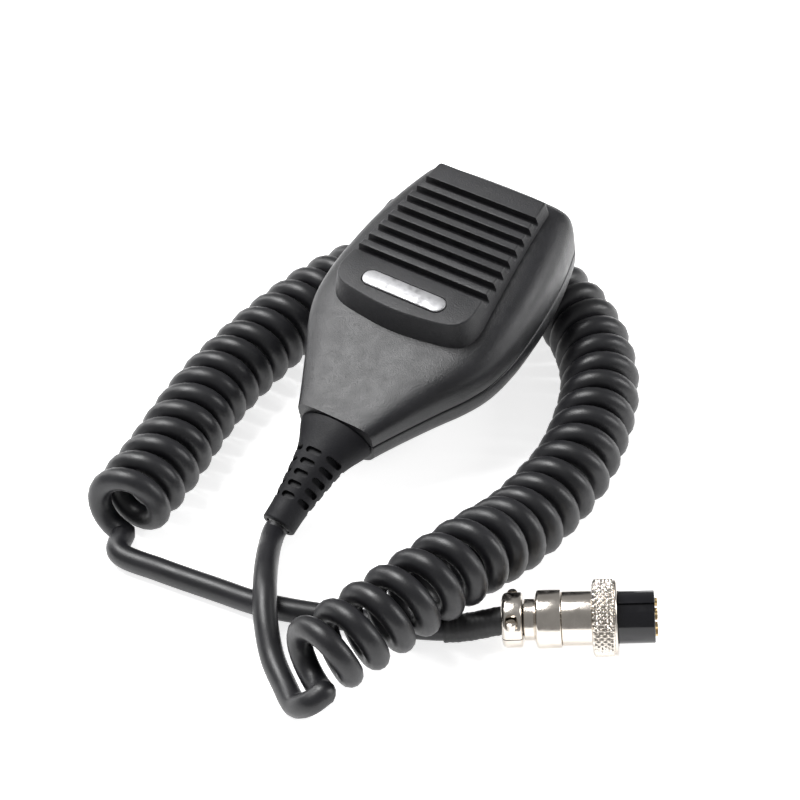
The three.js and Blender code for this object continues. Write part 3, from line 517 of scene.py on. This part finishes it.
def grille_block():
    """The raised block with its grooves, sound holes and the pocket for the label."""
    outline = block_outline(12)
    radius = BLOCK["edgeRadius"]
    levels = [(BLOCK["draft"], BLOCK["rootZ"]), (0.13, FACE_Z - radius - 0.4)]
    for k in range(7):
        turn = math.pi / 2 * k / 6
        levels.append((-radius + radius * math.cos(turn), FACE_Z - radius + radius * math.sin(turn)))
    rings = [[(p.x, p.y, z) for p in moved_out(outline, out)] for out, z in levels]
    verts, faces = loft(rings)
    block = new_object("grille_block", verts, faces, MATERIALS["block"], MIC_SPACE)
    heads = [GROOVE["firstY"] - k * GROOVE["pitch"] for k in range(GROOVE["count"])]
    grooves = joined(*[groove_cutter(head) for head in heads])
    holes = []
    for row in SOUND_HOLE["rows"]:
        y = heads[row] - GROOVE["width"] / 2
        top = FACE_Z - GROOVE["depth"] + 0.2
        for x in SOUND_HOLE["columns"]:
            holes.append(prism(disc(x, y, SOUND_HOLE["radius"]), top - SOUND_HOLE["depth"], top, "Z"))
    pocket = prism(stadium(0.35), FACE_Z - LABEL["recess"], FACE_Z + 1, "Z")
    cutters = [
        new_object("groove_cutter", *grooves, MATERIALS["dark"], MIC_SPACE),
        new_object("hole_cutter", *joined(*holes), MATERIALS["dark"], MIC_SPACE),
        new_object("pocket_cutter", *pocket, MATERIALS["dark"], MIC_SPACE),
    ]
    cut(block, cutters)
    return block


def label_plate():
    """The blank silver plate, its face standing a little proud with a bevelled edge."""
    bottom, top = LABEL["bottom"], LABEL["top"]
    levels = [(0, bottom), (0, top - 0.3), (-0.12, top - 0.1), (-0.35, top)]
    rings = [[(x, y, z) for x, y in stadium(grow)] for grow, z in levels]
    return new_object("label_face", *loft(rings), MATERIALS["label"], MIC_SPACE, sharp=25)


def shells():
    front = body_shell("front_case", FRONT_HEIGHT, FRONT_POWER, 1, MATERIALS["case"])
    rear = body_shell("rear_case", REAR_DEPTH, REAR_POWER, -1, MATERIALS["case"])
    opening = box_between(
        (-40, PTT["tailY"] - 0.5, PTT["lowZ"] - 0.4),
        (PTT["openingX"], PTT["headY"] + 0.5, PTT["highZ"] + 0.4)
    )
    keys = [box_between(
        (s * KEY["x"] - KEY["width"] / 2 - 0.35, 20, KEY["z"] - KEY["height"] / 2 - 0.35),
        (s * KEY["x"] + KEY["width"] / 2 + 0.35, 40, KEY["z"] + KEY["height"] / 2 + 0.35),
    ) for s in (-1, 1)]
    cut(front, [new_object("front_cutter", *joined(opening, *keys), MATERIALS["dark"], MIC_SPACE)], sharp=50)
    cut(rear, [new_object("rear_cutter", *opening, MATERIALS["dark"], MIC_SPACE)], sharp=50)
    block = grille_block()
    label = label_plate()
    for piece, node, slot in (
        (front, "front_shell", "case_black"), (block, "front_shell", "case_black"),
        (rear, "rear_shell", "case_black"), (label, "label_plate", "label_silver"),
    ):
        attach(piece, "microphone")
        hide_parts(node)


# ---------------------------------------------------------------- controls

def press_to_talk_bar():
    """The bar on the left side, with its rounded head end and softened edges."""
    head, tail, outer, tail_outer = PTT["headY"], PTT["tailY"], PTT["outerX"], PTT["tailOuterX"]
    corner = PTT["corner"]
    outline = [(PTT["innerX"], tail), (PTT["innerX"], head), (outer + corner, head)]
    arc = [math.pi / 2 * k / 6 for k in range(1, 7)]
    outline += [(outer + corner - corner * math.sin(a), head - corner + corner * math.cos(a)) for a in arc]
    for i in range(1, 13):
        t = i / 12
        ease = t * t * (3 - 2 * t)
        outline.append((outer + (tail_outer - outer) * ease, 6 + (tail + 2.4 - 6) * t))
    outline += [(tail_outer + 0.6, tail + 0.8), (tail_outer + 2.4, tail)]
    verts, faces = prism(outline, PTT["lowZ"], PTT["highZ"], "Z")
    bar = new_object("talk_bar_cap", verts, faces, MATERIALS["button"], MIC_SPACE)
    rounded(bar, 0.9, 4)
    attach(bar, "talk_bar")
    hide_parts("ptt_bar")


def end_key(side, body, node):
    """An up or down button, with softened edges."""
    width, height = KEY["width"] / 2, KEY["height"] / 2
    shape = box_between(
        (side * KEY["x"] - width, KEY["innerY"], KEY["z"] - height),
        (side * KEY["x"] + width, KEY["outerY"], KEY["z"] + height),
    )
    key = new_object(body + "_cap", *shape, MATERIALS["button"], MIC_SPACE)
    rounded(key, 0.5, 3)
    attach(key, body)
    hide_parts(node)


# ---------------------------------------------------------------- strain relief

def boot_frame():
    start = Vector((0, BOOT["startY"], BOOT["startZ"]))
    end = Vector((0, BOOT["endY"], BOOT["endZ"]))
    return start, (end - start).normalized(), (end - start).length


def boot_ring(distance, half_width, half_height, sides=72):
    start, along, _ = boot_frame()
    squareness = min(1, distance / BOOT["squareLength"])
    up = Vector((0, along.z * squareness, 1)).normalized()
    centre = start + along * distance
    return [
        centre + up * (half_height * math.sin(a)) + Vector((half_width * math.cos(a), 0, 0))
        for a in (2 * math.pi * i / sides for i in range(sides))
    ]


def boot_slot_cutter(distance, angle):
    """One slot with round ends, reaching in from outside at an angle about the strain relief's axis."""
    start, along, _ = boot_frame()
    up = Vector((0, along.z, -along.y)).normalized()
    right = Vector((1, 0, 0))
    half_width = value_at([(d, w) for d, w, _ in BOOT_SECTIONS], distance)
    half_height = value_at([(d, h) for d, _, h in BOOT_SECTIONS], distance)
    surface = 1 / math.hypot(math.cos(angle) / half_width, math.sin(angle) / half_height)
    radius = BOOT_SLOT["width"] / 2
    reach = BOOT_SLOT["span"] * surface / 2 - radius
    outward = right * math.cos(angle) + up * math.sin(angle)
    across = -right * math.sin(angle) + up * math.cos(angle)
    centre = start + along * distance
    half = [math.pi * (k / 8 - 0.5) for k in range(9)]
    outline = [(reach + radius * math.cos(a), radius * math.sin(a)) for a in half]
    outline += [(-x, -y) for x, y in outline]
    rings = []
    for height in (surface - BOOT_SLOT["depth"], surface + 3):
        rings.append([centre + outward * height + across * x + along * y for x, y in outline])
    return loft(rings)


def strain_relief():
    """The rubber boot, flared onto the case, with rows of slots and an open bore for the cord."""
    _, _, length = boot_frame()
    stations = [length * k / 60 for k in range(60)] + [length - BOOT["endRadius"]]
    wide = [(d, w) for d, w, _ in BOOT_SECTIONS]
    high = [(d, h) for d, _, h in BOOT_SECTIONS]
    rings = []
    for d in sorted(stations):
        rings.append(boot_ring(d, smooth_value_at(wide, d, 1.6), smooth_value_at(high, d, 1.6)))
    end = BOOT_SECTIONS[-1][1]
    for k in range(1, 5):
        turn = math.pi / 2 * k / 4
        radius = end - BOOT["endRadius"] * (1 - math.cos(turn))
        rings.append(boot_ring(length - BOOT["endRadius"] * (1 - math.sin(turn)), radius, radius))
    for d in (length, length - 4):
        rings.append(boot_ring(d, BOOT["boreRadius"], BOOT["boreRadius"]))
    boot = new_object("strain_relief_boot", *loft(rings), MATERIALS["boot"], MIC_SPACE)
    slots = []
    for row in range(BOOT_SLOT["rows"]):
        distance = BOOT_SLOT["first"] + row * BOOT_SLOT["pitch"]
        for column in range(BOOT_SLOT["columns"]):
            slots.append(boot_slot_cutter(distance, 2 * math.pi * (column + 0.5) / BOOT_SLOT["columns"]))
    cut(boot, [new_object("slot_cutter", *joined(*slots), MATERIALS["dark"], MIC_SPACE)])
    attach(boot, "microphone")
    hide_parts("strain_relief")


# ---------------------------------------------------------------- cord

def coil_points():
    """The curly cord's own line: a right-handed helix about the coil's axis, in millimetres."""
    dense = curve_through(COIL_AXIS, 40)
    count = int(COIL_TURNS * STEPS_PER_TURN)
    axis = spaced(dense, count)
    radius = COIL_RADIUS - CORD_RADIUS
    points = []
    for i, centre in enumerate(axis):
        along = (axis[min(i + 1, count)] - axis[max(i - 1, 0)]).normalized()
        right = along.cross(UP).normalized()
        up = right.cross(along)
        part = i / count
        turn = COIL_TURNS * (part - COIL_PITCH_CHANGE * part * (1 - part)) + COIL_START_TURN
        angle = 2 * math.pi * turn
        points.append(centre - right * (radius * math.cos(angle)) + up * (radius * math.sin(angle)))
    return points


def cord_points():
    """From the strain relief, through the coil, to the plug."""
    coil = coil_points()
    lead_in = curve_through([*MIC_LEAD, coil[0]], 10)
    lead_out = curve_through([coil[-1], *PLUG_LEAD[1:]], 12)
    return lead_in[:-1] + coil + lead_out[1:]


def curly_cord():
    points = [(p + CENTRING) * MM for p in cord_points()]
    curve = bpy.data.curves.new("cord_jacket", "CURVE")
    curve.dimensions = "3D"
    curve.bevel_depth = CORD_RADIUS * MM
    curve.bevel_resolution = 5
    curve.use_fill_caps = True
    curve.twist_mode = "MINIMUM"
    spline = curve.splines.new("POLY")
    spline.points.add(len(points) - 1)
    for target, point in zip(spline.points, points):
        target.co = (*point, 1)
        target.radius = 1.0
    spline.use_smooth = True
    curve.materials.append(MATERIALS["cord"])
    cord = bpy.data.objects.new("cord_jacket", curve)
    bpy.context.scene.collection.objects.link(cord)
    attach(cord, "microphone")
    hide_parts("mic_lead", "curly_cord", "plug_lead")
    return cord, points, lengths_along(points)[-1]


def heat_shrink_sleeve():
    """The sleeve over the last of the lead: shrunk on, so slightly uneven, with a rolled rim."""
    whole = spaced(curve_through(PLUG_LEAD, 30), 400)
    start, end = (int(part * 400) for part in SLEEVE_SPAN)
    line = whole[start:end + 1]
    sides, rings = 32, []
    inner = CORD_RADIUS + 0.02

    def ring(i, radius):
        along = (line[min(i + 1, len(line) - 1)] - line[max(i - 1, 0)]).normalized()
        right = along.cross(UP).normalized()
        up = right.cross(along)
        return [line[i] + right * (radius * math.cos(a)) + up * (radius * math.sin(a))
                for a in (2 * math.pi * k / sides for k in range(sides))]

    last = len(line) - 1
    rings.append(ring(0, inner))
    rings.append(ring(0, SLEEVE_RADIUS - 0.35))
    for i in range(1, last):
        rings.append(ring(i, SLEEVE_RADIUS - 0.2 + 0.08 * math.sin(i * 0.9) * math.sin(i * 0.37)))
    rings.append(ring(last, SLEEVE_RADIUS - 0.35))
    rings.append(ring(last, inner))
    verts, faces = loft(rings)
    sleeve = new_object("shrink_sleeve", verts, faces, MATERIALS["sleeve"], OBJECT_SPACE)
    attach(sleeve, "microphone")
    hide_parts("heat_shrink_sleeve")
    return sleeve


# ---------------------------------------------------------------- plug

def plug_piece(name, shape, material, node, body="microphone", sharp=35):
    piece = new_object(name, *shape, MATERIALS[material], PLUG_SPACE, sharp)
    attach(piece, body)
    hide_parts(node)
    return piece


def fillet(radius, x, corner, outward):
    """A quarter turn at a profile's outer corner: from the front face if outward is 1, the rear if -1."""
    steps = [math.pi / 2 * k / 4 for k in range(5)]
    if outward < 0:
        return [(radius - corner * (1 - math.sin(a)), x + corner * (1 - math.cos(a))) for a in steps]
    return [(radius - corner * (1 - math.cos(a)), x - corner * (1 - math.sin(a))) for a in steps]


def back_shell():
    p = PLUG
    start = p["clampLength"] + GAP
    end = p["rearEnd"] - BAND_SEAM
    profile = [(p["clampBore"], start), (p["neckRadius"] - 0.2, start), (p["neckRadius"], start + 0.2)]
    profile += [(p["neckRadius"], p["neckEnd"] - 0.5)]
    profile += fillet(p["rearRadius"], p["neckEnd"], 0.8, -1)
    profile += fillet(p["rearRadius"], end, 0.35, 1)
    step = p["neckEnd"] + 2
    profile += [(p["bore"], end), (p["bore"], step), (p["clampBore"], step), profile[0]]
    return lathe(profile, 96)


def barrel():
    p = PLUG
    end = p["ringEnd"] - GAP
    profile = [(p["bore"], p["rearEnd"]), *fillet(p["frontRadius"], p["rearEnd"], 0.3, -1)]
    profile += fillet(p["frontRadius"], end, 0.25, 1)
    profile += [(p["bore"], end), profile[0]]
    return lathe(profile, 96)


def saddle(side):
    """One half of the cable clamp, rounded on its rear edge."""
    p = PLUG
    sides = 40
    profile = [(p["clampBore"], 0.0), *fillet(p["clampRadius"], 0.0, 1.3, -1)]
    profile += fillet(p["clampRadius"], p["clampLength"], 0.7, 1)
    profile += [(p["clampBore"], p["clampLength"])]
    edge = GAP / 2 / p["clampRadius"]
    rings = []
    for k in range(sides + 1):
        a = (edge + (math.pi - 2 * edge) * k / sides) * side
        rings.append([(x, r * math.cos(a), r * math.sin(a)) for r, x in profile])
    return loft(rings)


def saddles():
    upper = plug_piece("clamp_upper", saddle(1), "nickel", "cable_saddle_upper")
    lower = plug_piece("clamp_lower", saddle(-1), "nickel", "cable_saddle_lower")
    seats = [prism(disc(PLUG["clampLength"] / 2, s * SADDLE_SCREW["y"], SADDLE_SCREW["headRadius"] + 0.3, 32),
                   SADDLE_SCREW["seatZ"], 9, "Z") for s in (-1, 1)]
    cut(upper, [new_object("seat_cutter", *joined(*seats), MATERIALS["dark"], PLUG_SPACE)])
    return upper, lower


def saddle_screw(index, side):
    """A small cheese-head screw with its slot."""
    s = SADDLE_SCREW
    x, y = PLUG["clampLength"] / 2, side * s["y"]
    top = s["seatZ"] + s["headHeight"] + 0.1
    radius = s["headRadius"]
    levels = [
        (radius, s["seatZ"] - 2), (radius, top - 0.35), (radius - 0.1, top - 0.12), (radius - 0.35, top),
    ]
    rings = [[(u, v, z) for u, v in disc(x, y, r, 32)] for r, z in levels]
    name = f"clamp_screw_{index}"
    screw = plug_piece(name, loft(rings), "nickel", f"saddle_screw_{index}")
    slot = box_between((x - 3, y - 0.2, top - 0.4), (x + 3, y + 0.2, top + 1))
    cut(screw, [new_object("driver_cutter", *slot, MATERIALS["dark"], PLUG_SPACE)])
    return screw


def knurl_height(turn, along):
    """Diamond knurling: two crossed sets of ridges, from 0 in the valleys to 1 on the tips."""
    first = abs(((turn * KNURL["teeth"] + along) % 1) * 2 - 1)
    second = abs(((turn * KNURL["teeth"] - along) % 1) * 2 - 1)
    return min(1.0, 1.5 * min(first, second))


def coupling_ring():
    """The knurled ring, with a plain rim in front and chamfers at both ends."""
    p = PLUG
    start, end, radius, bore = p["frontEnd"] + 0.1, p["ringEnd"], p["ringRadius"], p["ringBore"]
    low, high, steps = start + KNURL["from"], start + KNURL["to"], 20
    sides = KNURL["steps"]
    groove = radius - 0.35
    rows = [(bore, start, 0), (radius - 0.9, start, 0), (radius - 0.5, start + 0.25, 0)]
    rows += [(radius, low + (high - low) * k / steps, 1) for k in range(steps + 1)]
    rows += [(groove, high + 0.12, 0), (groove, high + 0.35, 0), (radius - 0.1, high + 0.5, 0)]
    rows += [(r, x, 0) for r, x in fillet(radius, end, 0.45, 1)] + [(bore, end, 0)]
    pitch = 2 * math.pi * radius / KNURL["teeth"]
    rings = []
    for r, x, knurled in rows:
        ring = []
        for i in range(sides):
            part = i / sides
            here = r
            if knurled:
                here -= KNURL["depth"] * (1 - knurl_height(part, (x - low) / pitch))
            ring.append((x, here * math.cos(2 * math.pi * part), here * math.sin(2 * math.pi * part)))
        rings.append(ring)
    verts, faces = loft(rings + [rings[0]])
    return plug_piece(
        "knurled_ring", (verts, faces[:-2]), "nickel", "coupling_ring", "plug_ring", 40,
    )


def socket_places():
    """Seven contacts on a circle and one in the middle."""
    places = [(0.0, 0.0)]
    for i in range(SOCKET["count"] - 1):
        angle = 2 * math.pi * (i + 0.5) / (SOCKET["count"] - 1)
        places.append((SOCKET["circle"] * math.sin(angle), SOCKET["circle"] * math.cos(angle)))
    return places


def insert():
    """The glossy insert that carries the contacts, with the keyway along it."""
    p = PLUG
    end, radius = p["length"], p["insertRadius"]
    rear = p["rearEnd"] + 2
    profile = [(0.01, rear), (p["shankRadius"], rear), (p["shankRadius"], p["ringEnd"])]
    profile += [(radius - 0.15, p["ringEnd"]), (radius, p["ringEnd"] + 0.2)]
    profile += [*fillet(radius, end, 0.3, 1), (0.01, end)]
    piece = plug_piece("contact_block", lathe(profile, 96), "insert", "contact_insert")
    key_verts, key_faces = box_between((p["ringEnd"], -1.15, radius - 0.7), (end + 1, 1.15, radius + 2))
    turn = Matrix.Rotation(math.radians(p["keyAngle"]), 3, "X")
    key = [turn @ Vector(v) for v in key_verts], key_faces
    holes = [prism(disc(y, z, SOCKET["holeRadius"], 24), end - SOCKET["depth"], end + 1, "X")
             for y, z in socket_places()]
    cut(piece, [new_object("socket_cutter", *joined(key, *holes), MATERIALS["dark"], PLUG_SPACE)])
    return piece


def plug():
    pieces = [
        plug_piece("plug_rear_band", back_shell(), "nickel", "plug_back_shell"),
        plug_piece("plug_front_band", barrel(), "nickel", "plug_barrel"),
        *saddles(), saddle_screw(1, -1), saddle_screw(2, 1), coupling_ring(), insert(),
    ]
    return pieces + [f"contact_socket_{i + 1}" for i in range(SOCKET["count"])]


# ---------------------------------------------------------------- pieces kept from the CAD

KEPT = {
    "screw": ["ptt_pivot_pin", "case_screw_1", "case_screw_2", "case_screw_3", "case_screw_4", "hanger_screw",
              "cord_clamp", "cord_clamp_screw_1", "cord_clamp_screw_2"],
    "switch": ["ptt_switch_body", "ptt_switch_plunger", "up_switch", "down_switch"],
    "board": ["circuit_board"],
    "capsule": ["mic_capsule"],
    "dark": ["capsule_holder", "grille_felt"],
    "nickel": ["hanger_stud"],
    "cord": ["inner_lead"],
    "contact": [f"contact_socket_{i + 1}" for i in range(SOCKET["count"])],
}


def paint_kept_nodes():
    for material, names in KEPT.items():
        for name in names:
            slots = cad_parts[name].material_slots
            for slot in slots:
                slot.material = MATERIALS[material]


# ---------------------------------------------------------------- floor, light and camera

def floor():
    mesh = bpy.data.meshes.new("floor")
    half = FLOOR_HALF_SIZE
    corners = [(-half, -half, 0), (half, -half, 0), (half, half, 0), (-half, half, 0)]
    mesh.from_pydata(corners, [], [(0, 1, 2, 3)])
    obj = bpy.data.objects.new("floor", mesh)
    bpy.context.scene.collection.objects.link(obj)
    material, _, shader = node_material("pale_floor")
    shader.inputs["Base Color"].default_value = (0.88, 0.88, 0.88, 1)
    shader.inputs["Roughness"].default_value = 0.9
    shader.inputs["Emission Color"].default_value = (1, 1, 1, 1)
    shader.inputs["Emission Strength"].default_value = FLOOR_GLOW
    mesh.materials.append(material)
    obj.location.z = -FLOOR_CLEARANCE


def area_light(name, place, target, size, power):
    data = bpy.data.lights.new(name, "AREA")
    data.shape = "RECTANGLE"
    data.size, data.size_y = size
    data.energy = power
    obj = bpy.data.objects.new(name, data)
    bpy.context.scene.collection.objects.link(obj)
    obj.location = place
    obj.rotation_euler = (Vector(target) - Vector(place)).to_track_quat("-Z", "Y").to_euler()


def lighting():
    area_light("overhead", (-0.42, -0.08, 0.9), (0.0, 0.0, 0.0), (0.45, 0.45), 10.5)
    area_light("left_window", (-0.9, 0.1, 0.5), (0.0, 0.0, 0.02), (0.3, 0.8), 4)
    area_light("right_window", (0.85, 0.6, 0.5), (0.0, 0.0, 0.02), (0.25, 0.7), 6)
    world = bpy.data.worlds.new("studio")
    world.use_nodes = True
    background = world.node_tree.nodes["Background"]
    background.inputs["Color"].default_value = (1, 1, 1, 1)
    background.inputs["Strength"].default_value = WORLD_STRENGTH
    bpy.context.scene.world = world
    bpy.context.scene.view_settings.view_transform = "Standard"


def camera():
    data = bpy.data.cameras.new("camera")
    data.lens = CAMERA_LENS
    data.sensor_width = 36
    obj = bpy.data.objects.new("camera", data)
    bpy.context.scene.collection.objects.link(obj)
    obj.location = CAMERA * MM
    obj.rotation_euler = (LOOK_AT - CAMERA).to_track_quat("-Z", "Y").to_euler()
    bpy.context.scene.camera = obj


# ---------------------------------------------------------------- assembly

camera()
strain_relief()
cord, cord_line, cord_length = curly_cord()
sleeve = heat_shrink_sleeve()
plug_pieces = plug()
shells()
press_to_talk_bar()
end_key(1, "up_key", "up_button")
end_key(-1, "down_key", "down_button")
paint_kept_nodes()
floor()
lighting()
